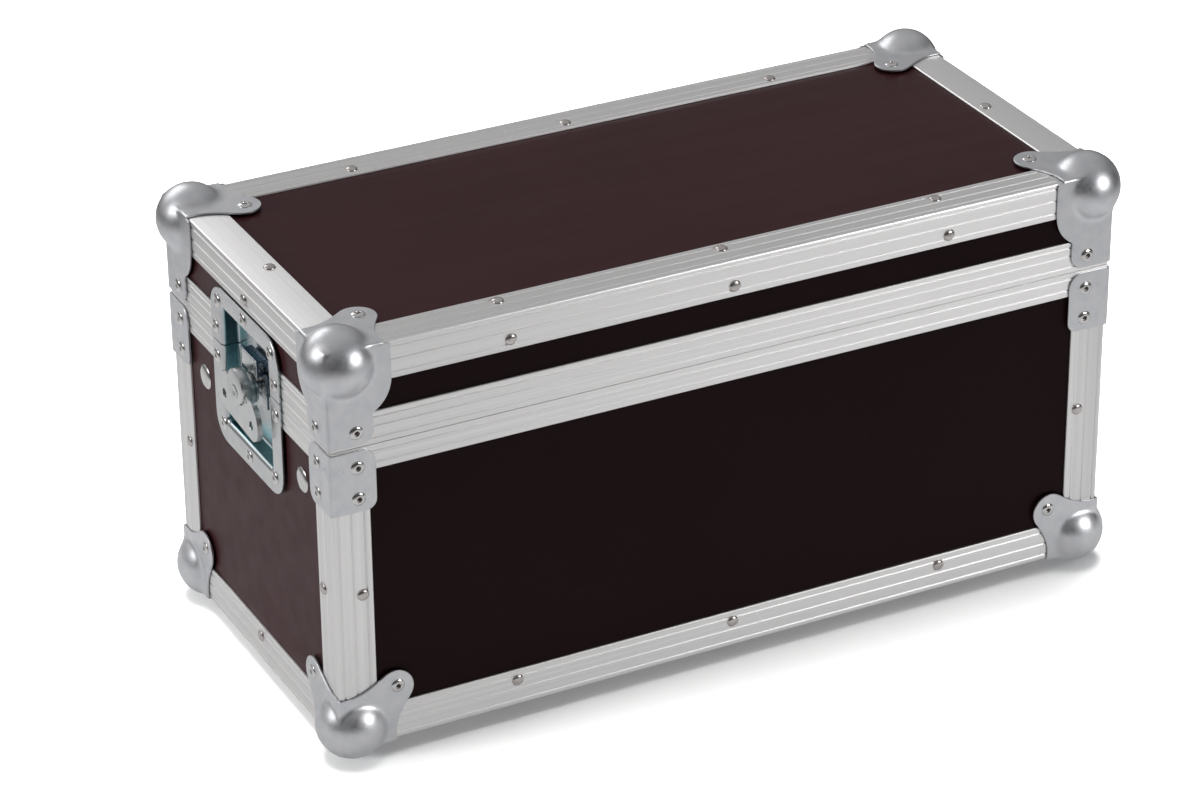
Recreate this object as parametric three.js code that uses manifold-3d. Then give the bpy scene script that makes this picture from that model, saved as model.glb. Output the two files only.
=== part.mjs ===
// A plywood flight case with riveted aluminium edges, steel ball corners and a lift-off lid
// that a turn latch holds down at each end. Millimetres, +Z up, the box's length along X.
// The origin is under the middle of the case, on the floor that its four ball corners stand on.
import * as THREE from "three";
import { mergeVertices } from "three/addons/utils/BufferGeometryUtils.js";
import Module from "manifold-3d";

const wasm = await Module();
wasm.setup();

// The box, measured over its aluminium edges.
const boxLength = 544;
const boxWidth = 248;
const boxHeight = 273;
const splitHeight = 207.5; // from the underside of the box to the line between base and lid
const clearance = 0.3; // between pieces that touch

// Sheet and profile sections.
const plyThickness = 7;
const angleLeg = 25; // both legs of the edge angles and corner posts
const angleWall = 1.5;
const angleRounding = 1.2; // on the outer edge of an angle
const rimWall = 1.5;
const baseRimHeight = 17; // outer leg, down from the split
const baseRimInnerHeight = 12;
const lidRimHeight = 21.5; // outer leg, up from the split
const lidRimInnerHeight = 16;
const tongueThickness = 3; // stands on the base rim and locates the lid
const tongueHeight = 4;
const tongueSideGap = 0.4;
const tongueTopGap = 0.6;

// Pressed steel corners.
const plateThickness = 1.2;
const ballRadius = 22.5;
const ballInset = 11.93; // of the ball's centre, from each of the three faces
const lobeCentre = 38.5; // of a corner plate's rivet lobe, from both edges
const lobeRadius = 10.8;
const lobeSweep = THREE.MathUtils.degToRad(35); // how far the lobe's arc runs past its own quarter
const tabReach = 36.5; // of a corner plate along an edge
const tabStraight = 6;
const legWidth = 28.5; // of a top corner's leg down a vertical edge
const legShoulderWidth = 41;
const legShoulderStraight = 22;
const legShoulderEnd = 45; // below the top, where the shoulder has narrowed to the leg
const legShoulderBulge = 2; // of the shoulder's curve
const legCornerRadius = 9;
const legEndAboveSplit = 2.5;
const braceWidth = 29;
const braceHeight = 41;
const braceBelowSplit = 1.5;
const braceTopRadius = 9;
const braceBottomRadius = 7;

// The recessed latch dish, cut in two by the split.
const dishWidth = 105;
const dishBottom = 139.7; // above the underside of the box
const dishTop = 247.3;
const dishCornerRadius = 17;
const dishWall = 1.2;
const windowWidth = 71.4;
const windowSideRadius = 3;
const windowAboveFlangeEnd = 15.3; // from the flange's lower end to the window
const windowBelowFlangeEnd = 13.5; // from the flange's upper end to the window
const dishDepth = 11.7; // from the flange's face to the dish's floor

// The turn latch. Heights are above the underside of the box.
const latchHeight = 194.5;
const latchRestTurn = THREE.MathUtils.degToRad(-4.9); // where the drum stops when it is shut
const spindleRadius = 4;
const spindleFootRadius = 9;
const spindleFootThickness = 0.9;
const spindleHeadRadius = 5;
const spindleHeadThickness = 0.5;
const boreGap = 0.3; // between spindle and drum
const drumRadius = 10.5;
const drumGapOverClaw = 3.8; // room under the drum for the claw's rise
const camRadius = 11.5;
const camOffset = 3.5; // from the spindle's axis to the cam disc's own centre
const camThickness = 6.7;
const camProud = 7.8; // of the flange's face
const wingThickness = 1.4;
const wingBelowCamFace = 1.9;
const wingHoleSpacing = 41.6;
const wingHoleRadius = 3;
const wingHoleDrop = 13.5; // below the spindle's axis
const wingLobeRadius = 10.2;
const wingShoulder = 3; // above the spindle's axis
const wingShoulderWidth = 40;
const wingShoulderFall = 4; // where a lobe's side curves over to the shoulder
const wingNotchGap = 0.7; // round the cam disc
const wingWebGap = 1; // between the cam disc and the web under it
const hingePinRadius = 1.5;
const hingePinGap = 0.3;
const hingePinLength = 3; // inside the cam disc
const hingePinGrip = 2; // inside the wing
const clawWidth = 23;
const clawThickness = 1.4;
const clawFaceBelowFlange = 2.7;
const clawStepAboveDrum = 1.2;
const clawFloorGap = 1.6;
const clawFootDrop = 12; // of the fork, below the spindle's axis
const clawForkGap = 0.7; // each side of the spindle
const hookAboveSplit = 8.1; // underside of the hook
const hookThickness = 1.8;
const keeperWidth = 22;
const keeperThickness = 1.5;
const keeperFootAboveSplit = 1.2;
const keeperLipHeight = 3.7; // over the dish's floor, outwards
const hookPastLip = 2.3; // how far the hook reaches in behind the keeper's lip

// Worked out from the above.
const panelFace = angleWall + clearance; // from the box's face in to the plywood
const panelBack = panelFace + plyThickness;
const ballProud = ballRadius - ballInset;
const flangeFace = -(clearance + plateThickness); // depths are inwards from the box's face
const dishFloor = flangeFace + dishDepth;
const windowBottom = dishBottom + windowAboveFlangeEnd;
const windowTop = dishTop - windowBelowFlangeEnd;
const pocketHalf = windowWidth / 2 + dishWall;
const splitGap = clearance / 2;

// How finely round shapes are cut up, and how far a cut runs past the face that it opens.
const ballSegments = [24, 16];
const ballHollowSegments = [16, 10];
const barSegments = 28;
const boreSegments = 20;
const pinSegments = 16;
const turnedSegments = 24;
const cornerCurve = 5;
const flangeCurve = 6;
const windowCurve = 3;
const cutPast = 1;

const steel = { color: 0xb4bac2, roughness: 0.35, metalness: 1 };
const aluminium = { color: 0xc9c6c3, roughness: 0.45, metalness: 1 };
const plywood = { color: 0x2a1e1b, roughness: 0.5, metalness: 0 };
const latchSteel = { color: 0xa9b3bd, roughness: 0.25, metalness: 1 };

const caseGroup = new THREE.Group();
caseGroup.position.z = ballProud;

// A closed geometry as a solid, and a solid as a geometry.
function solidOf(geometry) {
  const bare = geometry.index ? geometry.toNonIndexed() : geometry.clone();
  bare.deleteAttribute("normal");
  bare.deleteAttribute("uv");
  const merged = mergeVertices(bare, 1e-4);
  return new wasm.Manifold(
    new wasm.Mesh({
      numProp: 3,
      vertProperties: new Float32Array(merged.attributes.position.array),
      triVerts: new Uint32Array(merged.index.array),
    }),
  );
}

function geometryOf(solid) {
  const made = solid.getMesh();
  const geometry = new THREE.BufferGeometry();
  geometry.setAttribute("position", new THREE.BufferAttribute(made.vertProperties, 3));
  geometry.setIndex(new THREE.BufferAttribute(made.triVerts, 1));
  geometry.computeVertexNormals();
  return geometry;
}

function piece(name, geometry, finish, parent) {
  const mesh = new THREE.Mesh(geometry, new THREE.MeshStandardMaterial(finish));
  mesh.name = name;
  parent.add(mesh);
  return mesh;
}

function block(from, to) {
  const size = from.map((low, i) => to[i] - low);
  const middle = from.map((low, i) => (low + to[i]) / 2);
  return new THREE.BoxGeometry(...size).translate(...middle);
}

// An outline from points, run through as straight lines.
function outline(points) {
  return new THREE.Shape(points.map(([x, y]) => new THREE.Vector2(x, y)));
}

// A section drawn as (depth, height) and run along a side from one place to another. A mitred
// end is drawn back by the depth of each point.
const alongSide = new THREE.Matrix4().makeBasis(
  new THREE.Vector3(0, 1, 0),
  new THREE.Vector3(0, 0, 1),
  new THREE.Vector3(1, 0, 0),
);
function profileAlong(section, from, to, mitres = [false, false]) {
  const run = new THREE.ExtrudeGeometry(section, { depth: to - from, bevelEnabled: false });
  run.applyMatrix4(alongSide).translate(from, 0, 0);
  const place = run.attributes.position;
  const middle = (from + to) / 2;
  for (let i = 0; i < place.count; i += 1) {
    const atEnd = place.getX(i) > middle;
    if (mitres[Number(atEnd)])
      place.setX(i, place.getX(i) - (atEnd ? 1 : -1) * place.getY(i));
  }
  return run;
}

// An outline drawn as (along, height), with a thickness from one depth out to a lower one.
const outwards = new THREE.Matrix4().makeBasis(
  new THREE.Vector3(1, 0, 0),
  new THREE.Vector3(0, 0, 1),
  new THREE.Vector3(0, -1, 0),
);
function plateAt(shape, innerDepth, outerDepth, curveSegments = flangeCurve) {
  const sheet = new THREE.ExtrudeGeometry(shape, {
    depth: innerDepth - outerDepth,
    bevelEnabled: false,
    curveSegments,
  });
  return sheet.applyMatrix4(outwards).translate(0, innerDepth, 0);
}

// Each side has a frame of its own: x along it, y as the depth in from the box's face, z up.
const sides = {
  front: { half: boxLength / 2, out: boxWidth / 2, turn: 0 },
  right: { half: boxWidth / 2, out: boxLength / 2, turn: Math.PI / 2 },
  back: { half: boxLength / 2, out: boxWidth / 2, turn: Math.PI },
  left: { half: boxWidth / 2, out: boxLength / 2, turn: -Math.PI / 2 },
};
for (const side of Object.values(sides)) {
  side.group = new THREE.Group();
  side.group.rotation.z = side.turn;
  side.group.position.set(
    side.out * Math.sin(side.turn),
    -side.out * Math.cos(side.turn),
    0,
  );
  side.isEnd = side.half < side.out;
  caseGroup.add(side.group);
}

// Plywood. The long walls run the whole length, and the end walls, floor and top fit between.
const endWallHalf = boxWidth / 2 - panelBack - clearance;
const longWallHalf = boxLength / 2 - panelFace;
const baseWallTop = splitHeight - splitGap - rimWall - clearance;
const lidRimWeb = tongueHeight + tongueTopGap + rimWall;
const lidWallBottom = splitHeight + splitGap + lidRimWeb + clearance;
for (const [name, side] of Object.entries(sides)) {
  const half = side.isEnd ? endWallHalf : longWallHalf;
  const walls = {
    base: [panelFace, baseWallTop],
    lid: [lidWallBottom, boxHeight - panelFace],
  };
  for (const [part, [low, high]] of Object.entries(walls)) {
    let sheet = block([-half, panelFace, low], [half, panelBack, high]);
    if (side.isEnd) {
      const notchHalf = pocketHalf + clearance;
      const notch = block(
        [-notchHalf, 0, windowBottom - dishWall - clearance],
        [notchHalf, panelBack + panelFace, windowTop + dishWall + clearance],
      );
      sheet = geometryOf(solidOf(sheet).subtract(solidOf(notch)));
    }
    piece(`${part}_${name}_panel`, sheet, plywood, side.group);
  }
}
const innerPanel = [boxLength / 2 - panelBack - clearance, boxWidth / 2 - panelBack - clearance];
function flatPanel(name, low) {
  const [x, y] = innerPanel;
  piece(name, block([-x, -y, low], [x, y, low + plyThickness]), plywood, caseGroup);
}
flatPanel("base_floor_panel", panelFace);
flatPanel("lid_top_panel", boxHeight - panelBack);

// Aluminium edge angles: the long ones run the whole length, the short ones fit between.
const angleSection = outline([
  [angleRounding, 0],
  [angleLeg, 0],
  [angleLeg, angleWall],
  [angleWall, angleWall],
  [angleWall, angleLeg],
  [0, angleLeg],
  [0, angleRounding],
]);
for (const [name, side] of Object.entries(sides)) {
  const half = side.isEnd ? side.half - angleLeg - clearance : side.half;
  const angle = profileAlong(angleSection, -half, half);
  piece(`base_${name}_edge`, angle, aluminium, side.group);
  const top = piece(`lid_${name}_edge`, angle, aluminium, side.group);
  top.rotation.x = -Math.PI / 2;
  top.position.z = boxHeight;
}

// Corner frames: x and y run in from the two vertical faces that meet there, z up.
const corners = {
  front_left: [-1, -1],
  front_right: [1, -1],
  back_right: [1, 1],
  back_left: [-1, 1],
};
function cornerGroup([x, y], height, upright) {
  const group = new THREE.Group();
  group.position.set((x * boxLength) / 2, (y * boxWidth) / 2, height);
  group.scale.set(-x, -y, upright);
  caseGroup.add(group);
  return group;
}
const postBottom = angleLeg + clearance;
const postTop = splitHeight - baseRimHeight - clearance;
for (const [name, place] of Object.entries(corners)) {
  const post = new THREE.ExtrudeGeometry(angleSection, {
    depth: postTop - postBottom,
    bevelEnabled: false,
  });
  piece(`base_${name}_post`, post, aluminium, cornerGroup(place, postBottom, 1));
}

// The rims grip the plywood on both sides of the split. The base's carries a tongue, which
// stands in a groove of the lid's, and both are mitred at the corners.
const rimBack = panelBack + clearance + rimWall;
const tongueMiddle = rimBack / 2;
const baseRimTop = splitHeight - splitGap;
const lidRimBottom = splitHeight + splitGap;
const baseRimSection = outline([
  [0, splitHeight - baseRimHeight],
  [rimWall, splitHeight - baseRimHeight],
  [rimWall, baseRimTop - rimWall],
  [rimBack - rimWall, baseRimTop - rimWall],
  [rimBack - rimWall, splitHeight - baseRimInnerHeight],
  [rimBack, splitHeight - baseRimInnerHeight],
  [rimBack, baseRimTop],
  [tongueMiddle + tongueThickness / 2, baseRimTop],
  [tongueMiddle + tongueThickness / 2, baseRimTop + tongueHeight],
  [tongueMiddle - tongueThickness / 2, baseRimTop + tongueHeight],
  [tongueMiddle - tongueThickness / 2, baseRimTop],
  [0, baseRimTop],
]);
const grooveHalf = tongueThickness / 2 + tongueSideGap;
const grooveTop = lidRimBottom + tongueHeight + tongueTopGap;
const lidRimSection = outline([
  [0, lidRimBottom],
  [tongueMiddle - grooveHalf, lidRimBottom],
  [tongueMiddle - grooveHalf, grooveTop],
  [tongueMiddle + grooveHalf, grooveTop],
  [tongueMiddle + grooveHalf, lidRimBottom],
  [rimBack, lidRimBottom],
  [rimBack, splitHeight + lidRimInnerHeight],
  [rimBack - rimWall, splitHeight + lidRimInnerHeight],
  [rimBack - rimWall, lidRimBottom + lidRimWeb],
  [rimWall, lidRimBottom + lidRimWeb],
  [rimWall, splitHeight + lidRimHeight],
  [0, splitHeight + lidRimHeight],
]);
const rims = { base: baseRimSection, lid: lidRimSection };
for (const [name, side] of Object.entries(sides)) {
  const end = side.half - clearance / 2;
  const dishSide = pocketHalf + clearance;
  // An end's rims stop at the dish. Its x runs to the front at the left end, to the back at the right.
  const [low, high] = name === "left" ? ["back", "front"] : ["front", "back"];
  const runs = side.isEnd
    ? { [`_${low}`]: [-end, -dishSide, [true, false]], [`_${high}`]: [dishSide, end, [false, true]] }
    : { "": [-end, end, [true, true]] };
  for (const [part, section] of Object.entries(rims))
    for (const [suffix, [from, to, mitres]] of Object.entries(runs))
      piece(
        `${part}_${name}${suffix}_rim`,
        profileAlong(section, from, to, mitres),
        aluminium,
        side.group,
      );
}

// Ball corners, built at a corner of the box that lies at the origin of their frame, with the
// box on the positive side of all three planes.
function lobedPlate() {
  const shape = new THREE.Shape();
  const start = [
    lobeCentre + lobeRadius * Math.cos(lobeSweep),
    lobeCentre - lobeRadius * Math.sin(lobeSweep),
  ];
  const bend = start[1] - (start[0] - tabReach) / Math.tan(lobeSweep); // where the flank meets the tab
  const straight = Math.min(tabStraight, bend);
  shape.moveTo(flangeFace, flangeFace);
  shape.lineTo(tabReach, flangeFace);
  shape.lineTo(tabReach, straight);
  shape.quadraticCurveTo(tabReach, bend, ...start);
  shape.absarc(lobeCentre, lobeCentre, lobeRadius, -lobeSweep, Math.PI / 2 + lobeSweep, false);
  shape.quadraticCurveTo(bend, tabReach, straight, tabReach);
  shape.lineTo(flangeFace, tabReach);
  return shape;
}

const legLength = boxHeight - splitHeight - legEndAboveSplit;
function leggedPlate() {
  const shape = new THREE.Shape();
  shape.moveTo(flangeFace, flangeFace);
  shape.lineTo(legShoulderWidth, flangeFace);
  shape.lineTo(legShoulderWidth, legShoulderStraight);
  shape.quadraticCurveTo(
    legShoulderWidth,
    (legShoulderStraight + legShoulderEnd) / 2 + legShoulderBulge,
    legWidth,
    legShoulderEnd,
  );
  shape.lineTo(legWidth, legLength - legCornerRadius);
  const radius = legCornerRadius;
  shape.absarc(legWidth - radius, legLength - radius, radius, 0, Math.PI / 2, false);
  shape.lineTo(flangeFace, legLength);
  return shape;
}

// A plate drawn as (x, y) and laid on the plane z = 0, outside the box.
function laidPlate(shape) {
  return new THREE.ExtrudeGeometry(shape, {
    depth: plateThickness,
    bevelEnabled: false,
    curveSegments: cornerCurve,
  }).translate(0, 0, flangeFace);
}

// One vertical face of a corner is the other's mirror image, across the diagonal between them.
const swapped = new THREE.Matrix4().makeBasis(
  new THREE.Vector3(0, 1, 0),
  new THREE.Vector3(1, 0, 0),
  new THREE.Vector3(0, 0, 1),
);

function ballCorner(facePlate, sidePlate) {
  const onXFace = new THREE.Matrix4().makeBasis(
    new THREE.Vector3(0, 1, 0),
    new THREE.Vector3(0, 0, 1),
    new THREE.Vector3(1, 0, 0),
  );
  const plate = solidOf(laidPlate(facePlate));
  const side = solidOf(laidPlate(sidePlate).applyMatrix4(onXFace));
  const other = side.transform(swapped.elements);
  const ball = (radius, segments) =>
    solidOf(new THREE.SphereGeometry(radius, ...segments).translate(ballInset, ballInset, ballInset));
  const reach = boxHeight;
  const box = solidOf(block([-clearance, -clearance, -clearance], [reach, reach, reach]));
  return geometryOf(
    ball(ballRadius, ballSegments)
      .add(plate)
      .add(side)
      .add(other)
      .subtract(ball(ballRadius - plateThickness, ballHollowSegments))
      .subtract(box),
  );
}
const bottomCorner = ballCorner(lobedPlate(), lobedPlate());
const topCorner = ballCorner(lobedPlate(), leggedPlate());

// A brace holds the top of each post to the rims.
function bracePlate() {
  const shape = new THREE.Shape();
  const low = splitHeight - braceBelowSplit - braceHeight;
  const high = splitHeight - braceBelowSplit;
  shape.moveTo(flangeFace, low);
  const [top, bottom] = [braceTopRadius, braceBottomRadius];
  shape.absarc(braceWidth - bottom, low + bottom, bottom, -Math.PI / 2, 0, false);
  shape.absarc(braceWidth - top, high - top, top, 0, Math.PI / 2, false);
  shape.lineTo(flangeFace, high);
  return shape;
}
function cornerBrace() {
  const across = solidOf(plateAt(bracePlate(), -clearance, flangeFace, cornerCurve));
  return geometryOf(across.add(across.transform(swapped.elements)));
}
const brace = cornerBrace();
for (const [name, place] of Object.entries(corners)) {
  piece(`base_${name}_ball_corner`, bottomCorner, steel, cornerGroup(place, 0, 1));
  piece(`lid_${name}_ball_corner`, topCorner, steel, cornerGroup(place, boxHeight, -1));
  piece(`base_${name}_brace`, brace, steel, cornerGroup(place, 0, 1));
}

// Latch dish, in a side's frame: a flange on the edges' faces and a pocket with a flat floor.
function roundedRectangle(half, low, high, radius) {
  const shape = new THREE.Shape();
  shape.absarc(half - radius, low + radius, radius, -Math.PI / 2, 0, false);
  shape.absarc(half - radius, high - radius, radius, 0, Math.PI / 2, false);
  shape.absarc(radius - half, high - radius, radius, Math.PI / 2, Math.PI, false);
  shape.absarc(radius - half, low + radius, radius, Math.PI, 1.5 * Math.PI, false);
  return shape;
}
function dishHalf(low, high) {
  const flange = roundedRectangle(dishWidth / 2, dishBottom, dishTop, dishCornerRadius);
  const outer = roundedRectangle(
    pocketHalf,
    windowBottom - dishWall,
    windowTop + dishWall,
    windowSideRadius + dishWall,
  );
  const inner = roundedRectangle(windowWidth / 2, windowBottom, windowTop, windowSideRadius);
  const whole = solidOf(plateAt(flange, -clearance, flangeFace))
    .add(solidOf(plateAt(outer, dishFloor + dishWall, flangeFace, windowCurve)))
    .subtract(solidOf(plateAt(inner, dishFloor, flangeFace - dishWall, windowCurve)));
  const keep = block([-dishWidth, -dishDepth, low], [dishWidth, 2 * dishDepth, high]);
  return geometryOf(whole.intersect(solidOf(keep)));
}
const baseDish = dishHalf(0, splitHeight - splitGap);
const lidDish = dishHalf(splitHeight + splitGap, boxHeight);

// The spindle is riveted to the dish's floor, and the drum with its cam disc turns on it.
function turned(profile) {
  const shape = new THREE.LatheGeometry(
    profile.map(([radius, along]) => new THREE.Vector2(radius, along)),
    turnedSegments,
  );
  return shape.rotateX(Math.PI).translate(0, 0, latchHeight); // its axis runs outwards
}
const camFace = flangeFace - camProud;
const camBack = camFace + camThickness;
const spindleFoot = dishFloor - clearance;
const spindleHead = camFace - clearance;
const spindle = turned([
  [0, -spindleFoot],
  [spindleFootRadius, -spindleFoot],
  [spindleFootRadius, spindleFootThickness - spindleFoot],
  [spindleRadius, spindleFootThickness - spindleFoot],
  [spindleRadius, -spindleHead],
  [spindleHeadRadius, -spindleHead],
  [spindleHeadRadius, spindleHeadThickness - spindleHead],
  [0, spindleHeadThickness - spindleHead],
]);
const clawFloor = dishFloor - clawFloorGap; // inner face of the claw's foot
const clawFace = flangeFace + clawFaceBelowFlange;
const drumBottom = clawFloor - clawThickness - drumGapOverClaw;
const wingOuter = camFace + wingBelowCamFace;
const wingMiddle = wingOuter + wingThickness / 2;

// A round bar along a side's depth, between two depths, with its axis at (along, height).
function roundBar(radius, innerDepth, outerDepth, along = 0, height = 0, segments = barSegments) {
  const bar = new THREE.CylinderGeometry(radius, radius, innerDepth - outerDepth, segments);
  return bar.translate(along, (innerDepth + outerDepth) / 2, height);
}
// A round bar along a side.
function crossBar(radius, from, to, depth) {
  const bar = new THREE.CylinderGeometry(radius, radius, to - from, pinSegments).rotateZ(-Math.PI / 2);
  return bar.translate((from + to) / 2, depth, 0);
}
const camHalfAtPin = Math.sqrt(camRadius ** 2 - camOffset ** 2);
function drumSolid() {
  let made = solidOf(roundBar(drumRadius, drumBottom, camBack - clearance));
  made = made.add(solidOf(roundBar(camRadius, camBack, camFace, 0, camOffset)));
  const bore = spindleRadius + boreGap;
  const through = [drumBottom + cutPast, camFace - cutPast];
  made = made.subtract(solidOf(roundBar(bore, ...through, 0, 0, boreSegments)));
  const holeRadius = hingePinRadius + hingePinGap;
  const holeEnd = camHalfAtPin - hingePinLength - hingePinGap;
  for (const way of [-1, 1]) {
    const ends = [way * holeEnd, way * 2 * camRadius].sort((a, b) => a - b);
    made = made.subtract(solidOf(crossBar(holeRadius, ...ends, wingMiddle)));
  }
  return geometryOf(made);
}

// The folding wing: two lobes with finger holes, a notch round the cam disc, and a stub pin
// each side that turns in the disc.
function wingSolid() {
  const notchHalf = camRadius + wingNotchGap;
  const notchBottom = camOffset - camRadius - wingWebGap;
  const lobeX = wingHoleSpacing / 2;
  const bottom = -wingHoleDrop - wingLobeRadius;
  const edge = lobeX + wingLobeRadius;
  const shape = new THREE.Shape();
  shape.moveTo(notchHalf, wingShoulder);
  shape.lineTo(notchHalf, notchBottom / 2);
  shape.quadraticCurveTo(notchHalf, notchBottom, notchHalf / 2, notchBottom);
  shape.lineTo(-notchHalf / 2, notchBottom);
  shape.quadraticCurveTo(-notchHalf, notchBottom, -notchHalf, notchBottom / 2);
  shape.lineTo(-notchHalf, wingShoulder);
  shape.lineTo(-wingShoulderWidth / 2, wingShoulder);
  shape.quadraticCurveTo(-edge, wingShoulder - wingShoulderFall, -edge, -wingHoleDrop);
  shape.absarc(-lobeX, -wingHoleDrop, wingLobeRadius, Math.PI, 1.5 * Math.PI, false);
  shape.lineTo(lobeX, bottom);
  shape.absarc(lobeX, -wingHoleDrop, wingLobeRadius, -Math.PI / 2, 0, false);
  shape.quadraticCurveTo(edge, wingShoulder - wingShoulderFall, wingShoulderWidth / 2, wingShoulder);
  for (const way of [-1, 1]) {
    const hole = new THREE.Path();
    hole.absarc(way * lobeX, -wingHoleDrop, wingHoleRadius, 0, 2 * Math.PI, true);
    shape.holes.push(hole);
  }
  let made = solidOf(plateAt(shape, wingOuter + wingThickness, wingOuter));
  for (const way of [-1, 1]) {
    const ends = [way * (camHalfAtPin - hingePinLength), way * (notchHalf + hingePinGrip)];
    ends.sort((a, b) => a - b);
    made = made.add(solidOf(crossBar(hingePinRadius, ...ends, wingMiddle)));
  }
  return geometryOf(made);
}

// The claw: a fork round the spindle, a step out over the split and a hook behind the keeper.
const hookHeight = splitHeight + hookAboveSplit;
const keeperLipTop = hookHeight - clearance;
const keeperLipEnd = dishFloor - clearance - keeperLipHeight;
const hookTip = keeperLipEnd + hookPastLip;
function clawSolid() {
  const step = latchHeight + drumRadius + clawStepAboveDrum;
  const foot = latchHeight - clawFootDrop;
  const section = outline([
    [clawFloor - clawThickness, foot],
    [clawFloor, foot],
    [clawFloor, step + clawThickness],
    [clawFace + clawThickness, step + clawThickness],
    [clawFace + clawThickness, hookHeight],
    [hookTip, hookHeight],
    [hookTip, hookHeight + hookThickness],
    [clawFace, hookHeight + hookThickness],
    [clawFace, step],
    [clawFloor - clawThickness, step],
  ]);
  const slot = spindleRadius + clawForkGap;
  const fork = block([-slot, 0, foot - cutPast], [slot, dishFloor, latchHeight]);
  const round = roundBar(slot, dishFloor, 0, 0, latchHeight, boreSegments);
  return geometryOf(
    solidOf(profileAlong(section, -clawWidth / 2, clawWidth / 2))
      .subtract(solidOf(fork))
      .subtract(solidOf(round)),
  );
}

// The keeper: a plate on the lid dish's floor with an outward lip that the hook holds.
const keeperBack = dishFloor - clearance;
const keeperSection = outline([
  [keeperBack - keeperThickness, splitHeight + keeperFootAboveSplit],
  [keeperBack, splitHeight + keeperFootAboveSplit],
  [keeperBack, keeperLipTop],
  [keeperLipEnd, keeperLipTop],
  [keeperLipEnd, keeperLipTop - keeperThickness],
  [keeperBack - keeperThickness, keeperLipTop - keeperThickness],
]);

const drum = drumSolid();
const wing = wingSolid();
const claw = clawSolid();
const keeper = profileAlong(keeperSection, -keeperWidth / 2, keeperWidth / 2);
for (const name of ["left", "right"]) {
  const side = sides[name];
  piece(`base_${name}_latch_dish`, baseDish, latchSteel, side.group);
  piece(`lid_${name}_keeper_dish`, lidDish, latchSteel, side.group);
  piece(`lid_${name}_keeper`, keeper, latchSteel, side.group);
  piece(`latch_${name}_spindle`, spindle, latchSteel, side.group);
  piece(`latch_${name}_claw`, claw, latchSteel, side.group);
  const turning = new THREE.Group();
  turning.position.z = latchHeight;
  turning.rotation.y = -latchRestTurn; // a turn in the side's own plane, seen from outside
  side.group.add(turning);
  piece(`latch_${name}_drum`, drum, latchSteel, turning);
  piece(`latch_${name}_wing`, wing, latchSteel, turning);
}

export default caseGroup;
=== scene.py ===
# A flight case: dark film-faced plywood in ribbed aluminium edging, with pressed steel ball corners
# and a recessed turn latch at each end. Pieces are drawn in millimetres and placed in metres.
import math

import bmesh
import bpy
from mathutils import Matrix, Vector


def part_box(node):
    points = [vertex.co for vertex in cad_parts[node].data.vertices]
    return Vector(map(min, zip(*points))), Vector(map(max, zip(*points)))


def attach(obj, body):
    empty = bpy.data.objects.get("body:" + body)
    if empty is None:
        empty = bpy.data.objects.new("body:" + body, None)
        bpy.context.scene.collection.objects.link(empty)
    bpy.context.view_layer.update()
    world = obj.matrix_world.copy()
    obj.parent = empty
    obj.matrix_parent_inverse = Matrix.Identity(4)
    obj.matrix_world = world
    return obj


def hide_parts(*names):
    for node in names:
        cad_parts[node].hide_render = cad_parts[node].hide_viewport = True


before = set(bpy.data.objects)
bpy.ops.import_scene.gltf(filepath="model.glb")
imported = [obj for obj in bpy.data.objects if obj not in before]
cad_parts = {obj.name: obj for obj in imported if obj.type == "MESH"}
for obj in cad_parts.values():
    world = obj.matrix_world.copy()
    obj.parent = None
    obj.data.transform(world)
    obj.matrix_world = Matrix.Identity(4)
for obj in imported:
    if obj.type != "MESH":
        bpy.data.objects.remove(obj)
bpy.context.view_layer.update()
mm = 0.001
clearance = 0.3
print("frame loaded:", len(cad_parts), "nodes")


# The case's own sizes, read from the frame, in millimetres. Heights are above the box's underside.
def readCase():
    edgeLow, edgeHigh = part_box("base_front_edge")
    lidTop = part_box("lid_front_edge")[1].z
    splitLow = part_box("lid_front_rim")[0].z
    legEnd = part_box("lid_front_left_ball_corner")[0].z
    return {
        "halfLength": edgeHigh.x / mm,
        "halfWidth": -edgeLow.y / mm,
        "bottom": edgeLow.z / mm,
        "height": (lidTop - edgeLow.z) / mm,
        "split": (splitLow - edgeLow.z) / mm - clearance / 2,
        "legLength": (lidTop - legEnd) / mm,
    }


case = readCase()
cornerSigns = {
    "front_left": (-1, -1),
    "front_right": (1, -1),
    "back_right": (1, 1),
    "back_left": (-1, 1),
}
sideTurns = {"front": 0, "right": 90, "back": 180, "left": -90}
ends = ("left", "right")


# A side's frame: x along it, y the depth in from the box's face, z up.
def sideFrame(side):
    out = case["halfLength"] if side in ends else case["halfWidth"]
    turn = Matrix.Rotation(math.radians(sideTurns[side]), 4, "Z")
    return Matrix.Scale(mm, 4) @ turn @ Matrix.Translation((0, -out, case["bottom"]))


# A corner's frame: x, y and z all run into the box from its corner.
def cornerFrame(corner, atTop):
    x, y = cornerSigns[corner]
    height = case["bottom"] + (case["height"] if atTop else 0)
    place = Matrix.Translation((x * case["halfLength"], y * case["halfWidth"], height))
    mirror = Matrix.Diagonal((-x, -y, -1 if atTop else 1, 1))
    return Matrix.Scale(mm, 4) @ place @ mirror


# Faces outwards after a mirroring place, smooth faces, and edges sharper than the angle kept sharp.
def settle(bm, place, sharpAngle=32):
    bm.transform(place)
    if place.determinant() < 0:
        bmesh.ops.reverse_faces(bm, faces=bm.faces)
    for face in bm.faces:
        face.smooth = True
    for edge in bm.edges:
        edge.smooth = edge.calc_face_angle(0) < math.radians(sharpAngle)


def newObject(name, bm, finish):
    mesh = bpy.data.meshes.new(name)
    bm.to_mesh(mesh)
    bm.free()
    mesh.materials.append(finish)
    made = bpy.data.objects.new(name, mesh)
    bpy.context.scene.collection.objects.link(made)
    return made


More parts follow.
